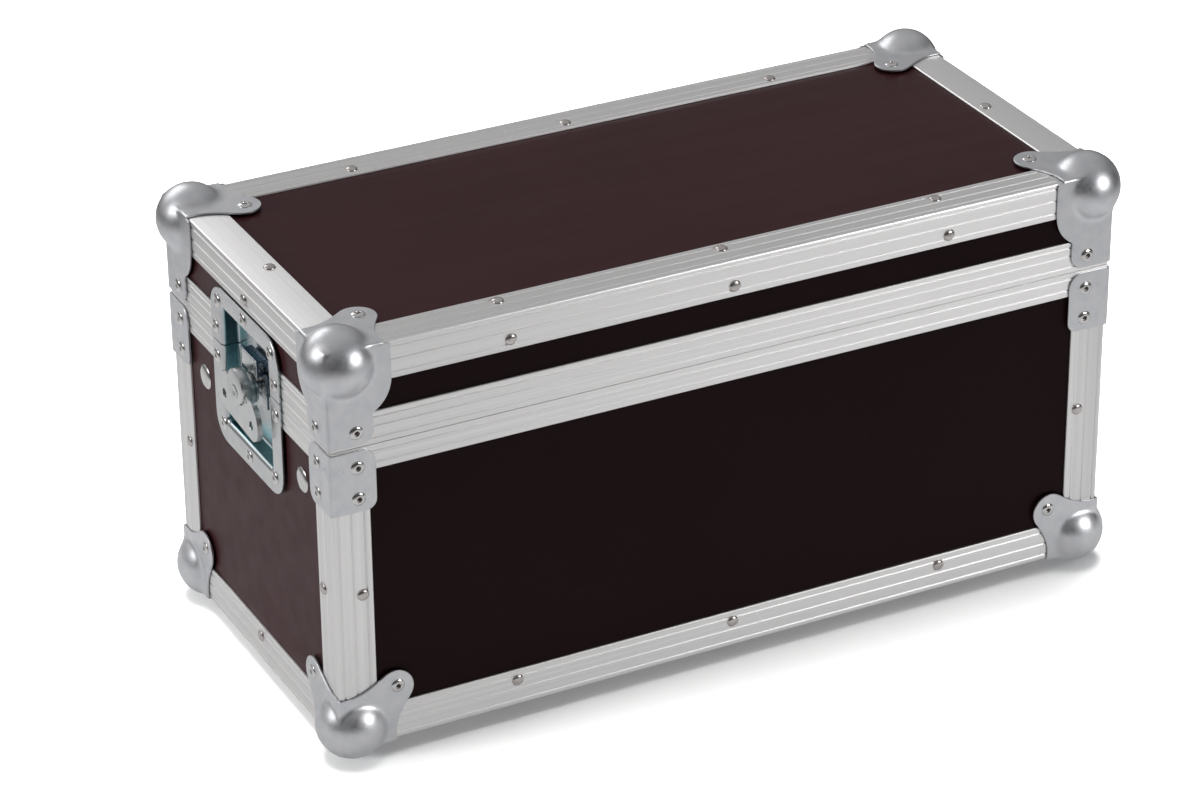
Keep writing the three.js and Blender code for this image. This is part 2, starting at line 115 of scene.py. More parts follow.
def makePiece(name, bm, finish, body, replaced=()):
    piece = newObject(name, bm, finish)
    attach(piece, body)
    if replaced:
        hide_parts(*replaced)
    return piece


# Turns every face over if the faces as a whole look into the case, along y.
def faceOutwards(bm):
    bm.normal_update()
    if sum(face.normal.y * face.calc_area() for face in bm.faces) > 0:
        bmesh.ops.reverse_faces(bm, faces=bm.faces)


# Moves a bmesh to its place in another, and frees it.
def addTo(bm, other, place):
    other.transform(place)
    carrier = bpy.data.meshes.new("carrier")
    other.to_mesh(carrier)
    other.free()
    bm.from_mesh(carrier)
    bpy.data.meshes.remove(carrier)


# Copies of one bmesh at several places, in one bmesh.
def scatter(template, places):
    gathered = bmesh.new()
    for place in places:
        copy = template.copy()
        settle(copy, place)
        addTo(gathered, copy, Matrix())
    return gathered


# A value that is itself a socket is linked in, and any other value is set.
def feed(socket, value):
    if isinstance(value, bpy.types.NodeSocket):
        socket.id_data.links.new(value, socket)
    else:
        socket.default_value = value


# Positional values feed the node's sockets in order; named ones feed a socket or a setting.
def addNode(tree, kind, *fed, **values):
    node = tree.nodes.new("ShaderNode" + kind)
    for key, value in values.items():
        if key in node.inputs:
            feed(node.inputs[key], value)
        else:
            setattr(node, key, value)
    for socket, value in zip(node.inputs, fed):
        feed(socket, value)
    return node


def remap(tree, value, low, high, fromLow=0.3, fromHigh=0.7):
    limits = {"From Min": fromLow, "From Max": fromHigh, "To Min": low, "To Max": high}
    return addNode(tree, "MapRange", value, **limits).outputs[0]


def times(tree, first, second):
    return addNode(tree, "Math", first, second, operation="MULTIPLY").outputs[0]


def blendColours(tree, factor, first, second):
    mixed = addNode(tree, "Mix", factor, data_type="RGBA")
    for index, colour in ((6, first), (7, second)):
        feed(mixed.inputs[index], (*colour, 1) if isinstance(colour, tuple) else colour)
    return mixed.outputs[2]


# Each layer is a height, its distance in metres and its strength.
def bumpUp(tree, shader, *layers):
    above = {}
    for height, distance, strength in layers:
        bump = addNode(tree, "Bump", Height=height, Distance=distance, Strength=strength, **above)
        above = {"Normal": bump.outputs["Normal"]}
    feed(shader["Normal"], above["Normal"])


# A group takes a Vector and named numbers, and gives named numbers.
def newGroup(name, inputs, outputs):
    group = bpy.data.node_groups.new(name, "ShaderNodeTree")
    group.interface.new_socket(name="Vector", in_out="INPUT", socket_type="NodeSocketVector")
    for label, value in inputs.items():
        socket = group.interface.new_socket(name=label, in_out="INPUT", socket_type="NodeSocketFloat")
        socket.default_value = value
    for label in outputs:
        group.interface.new_socket(name=label, in_out="OUTPUT", socket_type="NodeSocketFloat")
    start = group.nodes.new("NodeGroupInput")
    end = group.nodes.new("NodeGroupOutput")
    return group, start.outputs, end.inputs


def noise(tree, vector, **values):
    return addNode(tree, "TexNoise", Vector=vector, **values).outputs


def scaledVector(tree, vector, factor):
    return addNode(tree, "VectorMath", vector, operation="SCALE", Scale=factor).outputs[0]


# Fine drawn lines along one direction: the vector comes in already stretched.
def brushGroup():
    group, start, end = newGroup("drawnLines", {}, ("Lines", "Streaks"))
    fine = noise(group, start["Vector"], Scale=1.0, Detail=3.0, Roughness=0.6)
    broad = noise(group, start["Vector"], Scale=0.16, Detail=2.0, Roughness=0.5)
    feed(end["Lines"], fine["Fac"])
    feed(end["Streaks"], broad["Fac"])
    return group


# Hair scratches from handling, kept to some patches.
scratches = {"bend": 0.7, "mix": 0.82, "cells": 2.4, "thin": 0.012, "patches": 0.9, "keep": (0.5, 0.68)}


def handlingGroup():
    size = scratches
    group, start, end = newGroup("handlingMarks", {"Size": 40.0, "Amount": 0.5}, ("Scratches",))
    vector = scaledVector(group, start["Vector"], start["Size"])
    bend = noise(group, vector, Scale=size["bend"], Detail=2.0)
    mixed = addNode(group, "Mix", data_type="VECTOR", Factor=size["mix"])
    feed(mixed.inputs[4], vector)
    feed(mixed.inputs[5], bend["Color"])
    cells = addNode(
        group, "TexVoronoi", feature="DISTANCE_TO_EDGE", Vector=mixed.outputs[1], Scale=size["cells"]
    )
    line = remap(group, cells.outputs["Distance"], 1, 0, 0, size["thin"])
    patch = noise(group, vector, Scale=size["patches"], Detail=3.0)
    kept = times(group, line, remap(group, patch["Fac"], 0, 1, *size["keep"]))
    feed(end["Scratches"], times(group, kept, start["Amount"]))
    return group


# Slow waves and fine grain in a pressed or rolled sheet.
def sheetGroup():
    scales = {"Waves": 60.0, "Grain": 1500.0}
    group, start, end = newGroup("sheetSurface", scales, scales)
    for label in scales:
        vector = scaledVector(group, start["Vector"], start[label])
        feed(end[label], noise(group, vector, Scale=1.0, Detail=2.0)["Fac"])
    return group


groups = {"lines": brushGroup(), "marks": handlingGroup(), "sheet": sheetGroup()}


def placeGroup(tree, kind, vector, **values):
    return addNode(tree, "Group", node_tree=groups[kind], Vector=vector, **values).outputs


# A new material, its node tree, its shader's sockets and its Object coordinates.
def newFinish(name, metallic):
    material = bpy.data.materials.new(name)
    material.use_nodes = True
    tree = material.node_tree
    shader = tree.nodes["Principled BSDF"].inputs
    shader["Metallic"].default_value = metallic
    return material, tree, shader, addNode(tree, "TexCoord").outputs["Object"]


extrusionLook = {
    "pale": (0.87, 0.86, 0.858),
    "dull": (0.75, 0.74, 0.74),
    "dullShare": 0.7,
    "scratch": (0.9, 0.9, 0.9),
    "marks": {"Size": 26.0, "Amount": 0.7},
    "rough": (0.34, 0.48),
    "along": 6,  # streaks per metre
    "across": 2600,
    "spread": 0.62,
    "spreadTurn": 0.25,
    "lineBump": (0.00004, 0.4),
    "scratchBump": (0.00005, 0.3),
}


# Mill-finish extruded aluminium, drawn along one axis of the case.
def extrusionFinish(axis):
    look = extrusionLook
    material, tree, shader, where = newFinish("drawnAluminium" + axis, 1.0)
    scale = [look["along"] if name == axis else look["across"] for name in "XYZ"]
    stretch = addNode(tree, "Mapping", Vector=where, Scale=scale)
    lines = placeGroup(tree, "lines", stretch.outputs[0])
    scratch = placeGroup(tree, "marks", where, **look["marks"])["Scratches"]
    streaks = remap(tree, lines["Streaks"], 0, look["dullShare"])
    colour = blendColours(tree, streaks, look["pale"], look["dull"])
    feed(shader["Base Color"], blendColours(tree, scratch, colour, look["scratch"]))
    feed(shader["Roughness"], remap(tree, lines["Streaks"], *look["rough"]))
    # The drawn lines spread each reflection across the run.
    run = addNode(tree, "CombineXYZ", **{axis: 1.0}).outputs[0]
    turned = addNode(
        tree, "VectorTransform", run, vector_type="VECTOR", convert_from="OBJECT", convert_to="WORLD"
    )
    feed(shader["Tangent"], turned.outputs[0])
    feed(shader["Anisotropic"], look["spread"])
    feed(shader["Anisotropic Rotation"], look["spreadTurn"])
    bumpUp(tree, shader, (lines["Lines"], *look["lineBump"]), (scratch, *look["scratchBump"]))
    return material


# Waves are given by how many a metre has and how deep they are.
# A painted reflection is a colour painted inside the latch's recess, away from its floor: a teal
# reflection on the dish's walls, and a dark blue reflection and shade on the claw.
steelLooks = {
    "cornerSteel": {
        "bright": (0.71, 0.71, 0.725), "dull": (0.63, 0.645, 0.675),
        "rough": (0.35, 0.43), "waves": (45.0, 0.0005),
    },
    "dishSteel": {
        "bright": (0.60, 0.605, 0.61), "dull": (0.54, 0.555, 0.565),
        "rough": (0.22, 0.27), "waves": (60.0, 0.0004), "paintedReflection": (0.20, 0.40, 0.44),
    },
    "clawSteel": {
        "bright": (0.62, 0.625, 0.63), "dull": (0.55, 0.565, 0.58),
        "rough": (0.24, 0.30), "waves": (60.0, 0.0004), "paintedReflection": (0.13, 0.18, 0.25),
    },
    "latchSteel": {
        "bright": (0.66, 0.665, 0.665), "dull": (0.60, 0.61, 0.62),
        "rough": (0.28, 0.36), "waves": (60.0, 0.0004),
    },
    "headSteel": {
        "bright": (0.72, 0.71, 0.70), "dull": (0.62, 0.61, 0.61),
        "rough": (0.16, 0.24), "waves": (300.0, 0.0001),
    },
    "rivetSteel": {
        "bright": (0.62, 0.585, 0.565), "dull": (0.49, 0.46, 0.45),
        "rough": (0.2, 0.3), "waves": (300.0, 0.0001),
    },
    # The broken pins are near black: painted shade down in the blind rivets' holes.
    "paintedShadePinSteel": {
        "bright": (0.10, 0.07, 0.06), "dull": (0.05, 0.035, 0.03),
        "rough": (0.4, 0.55), "waves": (300.0, 0.0001),
    },
}
# What all the steel has alike.
zinc = {
    "grain": 1900.0,
    "cloud": {"Waves": 120.0, "Grain": 420.0},
    "haze": (0.35, 0.7),
    "scratch": (0.8, 0.82, 0.84),
    "marks": {"Size": 55.0, "Amount": 0.35},
    "waveStrength": 0.35,
    "grainBump": (0.000005, 0.2),
    "scratchBump": (0.00003, 0.3),
}
# The painted reflection fades in over these distances out from the box's face, on surfaces turned this far
# off it.
recess = {"full": -1.0, "starts": 1.2, "turn": (0.25, 0.9)}


# Where the painted reflection goes: inside the recess, on faces turned off the box's face.
def paintedReflectionMask(tree, where):
    def alongX(vector):
        apart = addNode(tree, "SeparateXYZ", vector)
        return addNode(tree, "Math", apart.outputs["X"], operation="ABSOLUTE").outputs[0]

    full, starts = ((case["halfLength"] + recess[key]) * mm for key in ("full", "starts"))
    inside = remap(tree, alongX(where), 1, 0, full, starts)
    normal = addNode(tree, "NewGeometry").outputs["Normal"]
    return times(tree, inside, remap(tree, alongX(normal), 1, 0, *recess["turn"]))


# Zinc plate on pressed steel: faintly cloudy, with a slow wave left by the press.
def steelFinish(name):
    look = steelLooks[name]
    material, tree, shader, where = newFinish(name, 1.0)
    waves, waveDepth = look["waves"]
    sheet = placeGroup(tree, "sheet", where, Waves=waves, Grain=zinc["grain"])
    scratch = placeGroup(tree, "marks", where, **zinc["marks"])["Scratches"]
    cloud = placeGroup(tree, "sheet", where, **zinc["cloud"])
    haze = remap(tree, cloud["Waves"], 0, 1, *zinc["haze"])
    colour = blendColours(tree, haze, look["bright"], look["dull"])
    colour = blendColours(tree, scratch, colour, zinc["scratch"])
    # Inside the recess the walls take a painted reflection: teal on the dish, dark blue with painted shade
    # on the claw.
    if "paintedReflection" in look:
        colour = blendColours(tree, paintedReflectionMask(tree, where), colour, look["paintedReflection"])
    feed(shader["Base Color"], colour)
    feed(shader["Roughness"], remap(tree, cloud["Grain"], *look["rough"]))
    bumpUp(
        tree, shader,
        (sheet["Waves"], waveDepth, zinc["waveStrength"]),
        (sheet["Grain"], *zinc["grainBump"]),
        (scratch, *zinc["scratchBump"]),
    )
    return material


filmLook = {
    "deep": (0.0165, 0.0048, 0.006),
    "worn": (0.0195, 0.0062, 0.0074),
    "scratch": (0.06, 0.05, 0.048),
    "specular": 0.065,
    "rough": (0.30, 0.38),
    "sheet": {"Waves": 9.0, "Grain": 900.0},
    "marks": {"Size": 17.0, "Amount": 0.05},
    "veneer": (30, 420, 420),  # streaks per metre, the veneer running along X
    "veneerBump": (0.00005, 0.25),
    "grainBump": (0.00003, 0.35),
    "scratchBump": (0.00003, 0.3),
}


# Phenolic film over plywood: very dark brown and satin, with the veneer's grain just showing.
def filmFinish():
    look = filmLook
    material, tree, shader, where = newFinish("brownFilm", 0.0)
    feed(shader["Specular IOR Level"], look["specular"])
    sheet = placeGroup(tree, "sheet", where, **look["sheet"])
    scratch = placeGroup(tree, "marks", where, **look["marks"])["Scratches"]
    stretch = addNode(tree, "Mapping", Vector=where, Scale=look["veneer"])
    veneer = placeGroup(tree, "lines", stretch.outputs[0])
    colour = blendColours(tree, remap(tree, sheet["Waves"], 0, 1), look["deep"], look["worn"])
    feed(shader["Base Color"], blendColours(tree, scratch, colour, look["scratch"]))
    feed(shader["Roughness"], remap(tree, veneer["Streaks"], *look["rough"]))
    bumpUp(
        tree, shader,
        (veneer["Lines"], *look["veneerBump"]),
        (sheet["Grain"], *look["grainBump"]),
        (scratch, *look["scratchBump"]),
    )
    return material


finishes = {
    "alongX": extrusionFinish("X"),
    "alongY": extrusionFinish("Y"),
    "alongZ": extrusionFinish("Z"),
    "corner": steelFinish("cornerSteel"),
    "dish": steelFinish("dishSteel"),
    "claw": steelFinish("clawSteel"),
    "latch": steelFinish("latchSteel"),
    "head": steelFinish("headSteel"),
    "rivet": steelFinish("rivetSteel"),
    "pin": steelFinish("paintedShadePinSteel"),
    "film": filmFinish(),
}
print("finishes made")

# The plywood panels are flat boards, so their own solids stay and take the film.
for name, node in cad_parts.items():
    if name.endswith("_panel"):
        node.data.materials.clear()
        node.data.materials.append(finishes["film"])


extrusion = {
    "leg": 25,
    "wall": 1.5,
    "rounding": 1.2,
    "roundingSteps": 4,
    "grooves": (3.8, 12, 20.6),
    "grooveWidth": 1.4,
    "grooveDepth": 0.55,
    "grooveFloor": 0.3,
    "endChamfer": 0.5,
}


# The outer face of a leg from its corner to its free end, as (distance, depth).
def ribbedFace(leg, grooves, start):
    half, floor = extrusion["grooveWidth"] / 2, extrusion["grooveFloor"] / 2
    deep = extrusion["grooveDepth"]
    points = [(start, 0)]
    for at in grooves:
        points += [(at - half, 0), (at - floor, deep), (at + floor, deep), (at + half, 0)]
    chamfer = extrusion["endChamfer"]
    return points + [(leg - chamfer, 0), (leg, chamfer)]


# A section of (depth, height) points run along a side, with ends drawn back by depth where mitred.
def runProfile(section, start, end, mitreStart=0, mitreEnd=0):
    bm = bmesh.new()
    first = bm.faces.new([bm.verts.new((start + mitreStart * y, y, z)) for y, z in section])
    grown = bmesh.ops.extrude_face_region(bm, geom=[first])
    for vert in grown["geom"]:
        if isinstance(vert, bmesh.types.BMVert):
            vert.co.x = end - mitreEnd * vert.co.y
    bmesh.ops.recalc_face_normals(bm, faces=bm.faces)
    return bm


# The angle's two legs. The end edges are drawn with a plain leg on the deck.
def angleSection(flatGrooves=extrusion["grooves"]):
    size = extrusion
    leg, wall, radius = size["leg"], size["wall"], size["rounding"]
    face = ribbedFace(leg, size["grooves"], radius)
    deck = ribbedFace(leg, flatGrooves, radius)
    steps = size["roundingSteps"]
    turn = [
        (radius - radius * math.sin(a), radius - radius * math.cos(a))
        for a in (math.pi / 2 * k / steps for k in range(1, steps))
    ]
    upright = [(depth, reach) for reach, depth in face]
    flat = [(reach, depth) for reach, depth in reversed(deck)]
    return upright + [(wall, leg), (wall, wall), (leg, wall)] + flat + turn


def edgePieces():
    leg = extrusion["leg"]
    for side in sideTurns:
        isEnd = side in ends
        section = angleSection(()) if isEnd else angleSection()
        half = case["halfWidth"] - leg - clearance if isEnd else case["halfLength"]
        finish = finishes["alongY" if isEnd else "alongX"]
        for part in ("base", "lid"):
            place = sideFrame(side)
            if part == "lid":
                place = place @ Matrix.Translation((0, 0, case["height"])) @ Matrix.Scale(-1, 4, (0, 0, 1))
            bm = runProfile(section, -half, half)
            settle(bm, place)
            name = f"{part}_{side}_edge"
            makePiece(f"{name}_extrusion", bm, finish, part, (name,))


# A post stands in a corner: its section lies in x and y and runs up.
def postPieces():
    upright = Matrix(((0, 1, 0, 0), (0, 0, 1, 0), (1, 0, 0, 0), (0, 0, 0, 1)))
    for corner in cornerSigns:
        node = f"base_{corner}_post"
        low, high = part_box(node)
        bottom = low.z / mm - case["bottom"]
        top = high.z / mm - case["bottom"]
        bm = runProfile(angleSection(), bottom, top)
        settle(bm, cornerFrame(corner, False) @ upright)
        makePiece(f"{node}_extrusion", bm, finishes["alongZ"], "base", (node,))


rim = {
    "wall": 1.5,
    "back": 10.6,
    "tongue": 3,
    "tongueHeight": 4,
    "grooveSide": 0.4,
    "grooveTop": 0.6,
    "base": {"outer": 17, "inner": 12, "grooves": (4.4, 12)},
    "lid": {"outer": 21.5, "inner": 16, "grooves": (4.4, 12.1, 18)},
    "lip": 0.2,
}


# Sections of the two rims as (depth, distance from the split).
def rimSection(part):
    size = rim[part]
    wall, back, middle = rim["wall"], rim["back"], rim["back"] / 2
    gap, lip = clearance / 2, rim["lip"]
    ribs = ribbedFace(size["outer"], size["grooves"], gap + lip)
    face = [(depth, reach) for reach, depth in ribs]
    if part == "base":
        half, rise, web = rim["tongue"] / 2, gap - rim["tongueHeight"], gap + wall
    else:
        half = rim["tongue"] / 2 + rim["grooveSide"]
        rise = gap + rim["tongueHeight"] + rim["grooveTop"]
        web = rise + wall
    joint = [(middle + half, gap), (middle + half, rise), (middle - half, rise), (middle - half, gap)]
    inside = [(wall, size["outer"]), (wall, web), (back - wall, web), (back - wall, size["inner"])]
    return face + inside + [(back, size["inner"]), (back, gap)] + joint + [(lip, gap)]


def rimPieces():
    for part in ("base", "lid"):
        section = rimSection(part)
        way = -1 if part == "base" else 1
        for side in sideTurns:
            isEnd = side in ends
            end = (case["halfWidth"] if isEnd else case["halfLength"]) - clearance / 2
            runs = {f"{part}_{side}_rim": (-end, end, 1, 1)}
            if isEnd:
                stop = dish["window"] / 2 + dish["wall"] + clearance
                low, high = ("back", "front") if side == "left" else ("front", "back")
                runs = {
                    f"{part}_{side}_{low}_rim": (-end, -stop, 1, 0),
                    f"{part}_{side}_{high}_rim": (stop, end, 0, 1),
                }
            for node, run in runs.items():
                bm = runProfile(section, *run)
                lift = Matrix.Translation((0, 0, case["split"])) @ Matrix.Scale(way, 4, (0, 0, 1))
                settle(bm, sideFrame(side) @ lift)
                finish = finishes["alongY" if isEnd else "alongX"]
                makePiece(f"{node}_extrusion", bm, finish, part, (node,))


plate = {"wall": 1.2, "face": -1.5, "fold": 1.7, "strip": 0.45, "chamfer": 0.28, "sharpAngle": 40}


def arc(x, y, radius, start, end, steps):
    angles = [math.radians(start + (end - start) * k / steps) for k in range(steps + 1)]
    return [(x + radius * math.cos(a), y + radius * math.sin(a)) for a in angles]


def between(start, end, steps):
    return [
        (start[0] + (end[0] - start[0]) * k / steps, start[1] + (end[1] - start[1]) * k / steps)
        for k in range(steps + 1)
    ]


def curveThrough(start, control, end, steps):
    points = []
    for k in range(steps + 1):
        t = k / steps
        points.append(tuple(
            (1 - t) ** 2 * a + 2 * t * (1 - t) * b + t * t * c for a, b, c in zip(start, control, end)
        ))
    return points


def withoutRepeats(points, near=0.02):
    kept = []
    for point in points:
        if not kept or math.dist(point, kept[-1]) > near:
            kept.append(point)
    return kept if math.dist(kept[0], kept[-1]) > near else kept[:-1]


ballCorner = {
    "radius": 22.5,
    "lobeCentre": 36.3,
    "lobeRadius": 12.4,
    "lobeSweep": 35,
    "tabReach": 36.5,
    "tabStraight": 6,
    "legWidth": 28.5,
    "shoulderWidth": 41,
    "shoulderStraight": 22,
    "shoulderEnd": 45,
    "shoulderBulge": 2,
    "notch": 1.6,
    "legCorner": 9,
    "relief": 1.4,
    "shoulderRadius": 2,
    "foldSteps": 38,
    "fillet": 3.2,
    "nearRings": (0.988, 0.968, 0.94, 0.91, 0.885),  # shares of the way from the ball's foot
    "rings": 30,
}


# Outlines on a face, whose two folds run along its axes from the corner.
def lobedOutline():
    size, fold = ballCorner, plate["face"]
    tab, flat = size["tabReach"], size["tabStraight"]
    centre, radius, sweep = size["lobeCentre"], size["lobeRadius"], size["lobeSweep"]
    start = arc(centre, centre, radius, -sweep, 0, 1)[0]
    bend = start[1] - (start[0] - tab) / math.tan(math.radians(sweep))
    turn = (tab, min(flat, bend))
    along = between((fold, fold), (tab, fold), size["foldSteps"])
    flank = between((tab, fold), turn, steps=5) + curveThrough(turn, (tab, bend), start, steps=10)
    lobe = arc(centre, centre, radius, -sweep, 45, steps=12)
    half = withoutRepeats(along + flank + lobe)
    return withoutRepeats(half + [(y, x) for x, y in reversed(half)])


def leggedOutline():
    size, fold, length = ballCorner, plate["face"], case["legLength"]
    wide, narrow, radius = size["shoulderWidth"], size["legWidth"], size["legCorner"]
    tab, relief, round = size["tabReach"], fold + size["relief"], size["shoulderRadius"]
    straight, end, notch = size["shoulderStraight"], size["shoulderEnd"], size["notch"]
    along = between((fold, fold), (tab, fold), size["foldSteps"])
    along += between((tab, relief), (wide - round, relief), steps=3)
    along += arc(wide - round, relief + round, round, -90, 0, steps=4)
    side = between((wide, relief + round), (wide, straight), steps=14)
    # The shoulder falls to a small dip where the leg begins.
    control = (straight + end) / 2 + size["shoulderBulge"]
    dipStart = (narrow + notch * 0.4, end - notch)
    dipMiddle = (narrow - notch * 0.5, end - notch * 0.3)
    dipEnd = (narrow, end + notch)
    shoulder = curveThrough((wide, straight), (wide, control), dipStart, steps=14)
    dip = curveThrough(shoulder[-1], dipMiddle, dipEnd, steps=5)
    leg = between(dipEnd, (narrow, length - radius), steps=5)
    toe = arc(narrow - radius, length - radius, radius, 0, 90, steps=9)
    back = between((narrow - radius, length), (fold, length), steps=16)
    fall = between((fold, length), (fold, fold), steps=56)
    return withoutRepeats(along + side + shoulder + dip + leg + toe + back + fall)


# How far in from the corner's faces the ball's middle is: it stands out as far as it lifts the case.
def ballInset():
    return ballCorner["radius"] - case["bottom"]


# Where a point of the flat plates ends up once the folds are rounded and the ball is raised.
def pressed(point):
    radius, fillet, inset = ballCorner["radius"], ballCorner["fillet"], ballInset()
    centre = Vector((inset, inset, inset))
    inner = plate["face"] + plate["fold"]
    core = Vector([max(value, inner) for value in point])
    out = point - core
    folded = core + out * (plate["fold"] / out.length)
    ray = folded - centre
    blend = max(fillet - abs(ray.length - radius), 0) / fillet
    reach = max(ray.length, radius) + blend * blend * fillet / 4
    return centre + ray * (reach / ray.length)


# Gives a pressed sheet its thickness inwards, and a small bright chamfer round its free edge.
def thicken(bm, wall, chamfer):
    free = [edge for edge in bm.edges if edge.is_boundary]
    bmesh.ops.solidify(bm, geom=bm.faces[:], thickness=wall)
    free = [edge for edge in free if edge.is_valid]
    bmesh.ops.bevel(
        bm, geom=free, offset=chamfer, segments=1, profile=0.5, affect="EDGES", material=-1,
        clamp_overlap=False,
    )


def cornerShell(topOutline, sideOutline):
    bm = bmesh.new()
    face = plate["face"]

    def lay(points, toSpace):
        return bm.faces.new([bm.verts.new(toSpace(u, v)) for u, v in points])

    lay(topOutline, lambda u, v: (u, v, face))
    lay(sideOutline, lambda u, v: (face, u, v))
    lay(sideOutline, lambda u, v: (u, face, v))
    bmesh.ops.remove_doubles(bm, verts=bm.verts, dist=0.02)
    outward = {0: Vector((0, 0, -1)), 1: Vector((-1, 0, 0)), 2: Vector((0, -1, 0))}
    bm.faces.ensure_lookup_table()
    bm.normal_update()
    for index, direction in outward.items():
        if bm.faces[index].normal.dot(direction) < 0:
            bm.faces[index].normal_flip()
    sheets = list(bm.faces)
    bmesh.ops.inset_region(
        bm, faces=sheets, thickness=plate["strip"], use_boundary=True, use_even_offset=True
    )
    inset, near, rings = ballInset(), ballCorner["nearRings"], ballCorner["rings"]
    far = tuple(near[-1] * (1 - k / rings) for k in range(1, rings - 1))
    for sheet in sheets:
        bm.normal_update()
        foot = Vector([face if abs(n) > 0.5 else inset for n in sheet.normal])
        last = 1
        for share in near + far:
            bmesh.ops.inset_individual(bm, faces=[sheet], thickness=0, use_even_offset=False)
            for vert in sheet.verts:
                vert.co = foot + (vert.co - foot) * (share / last)
            last = share
        bmesh.ops.poke(bm, faces=[sheet])
    for vert in bm.verts:
        vert.co = pressed(vert.co)
    bm.normal_update()
    thicken(bm, plate["wall"], plate["chamfer"])
    return bm


brace = {"width": 29, "height": 41, "belowSplit": 1.5, "topRadius": 9, "bottomRadius": 7}


def braceShell():
    size, fold = brace, plate["face"]
    high = case["split"] - size["belowSplit"]
    low = high - size["height"]
    wide, top, bottom = size["width"], size["topRadius"], size["bottomRadius"]
    outline = [(fold, low)] + arc(wide - bottom, low + bottom, bottom, -90, 0, steps=8)
    outline += arc(wide - top, high - top, top, 0, 90, steps=8) + [(fold, high)]
    bm = bmesh.new()
    one = bm.faces.new([bm.verts.new((u, fold, v)) for u, v in outline])
    two = bm.faces.new([bm.verts.new((fold, u, v)) for u, v in reversed(outline)])
    bmesh.ops.remove_doubles(bm, verts=bm.verts, dist=0.01)
    bm.normal_update()
    if one.normal.y > 0:
        one.normal_flip()
    if two.normal.x > 0:
        two.normal_flip()
    crease = [edge for edge in one.edges if two in edge.link_faces]
    bmesh.ops.bevel(
        bm, geom=crease, offset=plate["fold"], segments=5, profile=0.5, affect="EDGES", material=-1
    )
    thicken(bm, plate["wall"], plate["chamfer"])
    return bm


def cornerPieces():
    lobed, legged = lobedOutline(), leggedOutline()
    shells = {"base": cornerShell(lobed, lobed), "lid": cornerShell(lobed, legged)}
    fold, sharpAngle = braceShell(), plate["sharpAngle"]
    for corner in cornerSigns:
        for part, shell in shells.items():
            bm = shell.copy()
            settle(bm, cornerFrame(corner, part == "lid"), sharpAngle)
            node = f"{part}_{corner}_ball_corner"
            makePiece(f"{node}_pressing", bm, finishes["corner"], part, (node,))
        bm = fold.copy()
        settle(bm, cornerFrame(corner, False), sharpAngle)
        node = f"base_{corner}_brace"
        makePiece(f"{node}_pressing", bm, finishes["corner"], "base", (node,))


dish = {
    "width": 105,
    "cornerRadius": 17,
    "wall": 1.2,
    "window": 71.4,
    "windowRadius": 3,
    "windowAboveEnd": 15.3,
    "windowBelowEnd": 13.5,
    "depth": 11.7,
    "seam": 0.7,
    "lip": 3.2,
    "lipSteps": 6,
    "floorRadius": 2,
    "floorSteps": 3,
    "chamfer": 0.3,
}


def dishHeights():
    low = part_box("base_left_latch_dish")[0].z / mm - case["bottom"]
    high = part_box("lid_left_keeper_dish")[1].z / mm - case["bottom"]
    return low, high


# A loop round a rounded rectangle at one depth of a side's frame.
def roundedLoop(bm, half, low, high, radius, depth, steps=6):
    points = arc(half - radius, low + radius, radius, -90, 0, steps)
    points += arc(half - radius, high - radius, radius, 0, 90, steps)
    points += arc(radius - half, high - radius, radius, 90, 180, steps)
    points += arc(radius - half, low + radius, radius, 180, 270, steps)
    verts = [bm.verts.new((x, depth, z)) for x, z in points]
    return verts, [bm.edges.new((a, b)) for a, b in zip(verts, verts[1:] + verts[:1])]


def dishSheet():
    size, face = dish, plate["face"]
    low, high = dishHeights()
    floor, lip, turn = face + size["depth"], size["lip"], size["floorRadius"]
    rings = [(size["width"] / 2, low, high, size["cornerRadius"], face)]
    half, radius = size["window"] / 2, size["windowRadius"]
    low, high = low + size["windowAboveEnd"], high - size["windowBelowEnd"]

    def windowRing(grow, depth):
        rings.append((half + grow, low - grow, high + grow, radius + grow, depth))

    for x, y in arc(0, 0, 1, 0, 90, size["lipSteps"]):
        windowRing(lip * (1 - y), face + lip * (1 - x))
    for x, y in arc(0, 0, 1, 0, 90, size["floorSteps"]):
        windowRing(turn * (x - 1), floor - turn * (1 - y))
    bm = bmesh.new()
    last = None
    for ring in rings:
        verts, edges = roundedLoop(bm, *ring)
        if last:
            bmesh.ops.bridge_loops(bm, edges=last + edges)
        last = edges
    bm.faces.new(verts)
    bmesh.ops.recalc_face_normals(bm, faces=bm.faces)
    faceOutwards(bm)
    return bm


def dishPieces():
    whole = dishSheet()
    halves = {
        "base": (case["split"] - dish["seam"] / 2, "base_{}_latch_dish", "clear_outer"),
        "lid": (case["split"] + dish["seam"] / 2, "lid_{}_keeper_dish", "clear_inner"),
    }
    for part, (height, label, cut) in halves.items():
        half = whole.copy()
        geometry = half.verts[:] + half.edges[:] + half.faces[:]
        bmesh.ops.bisect_plane(
            half, geom=geometry, plane_co=(0, 0, height), plane_no=(0, 0, 1), **{cut: True}
        )
        thicken(half, dish["wall"], dish["chamfer"])
        for end in ends:
            bm = half.copy()
            settle(bm, sideFrame(end), plate["sharpAngle"])
            node = label.format(end)
            makePiece(f"{node}_pressing", bm, finishes["dish"], part, (node,))


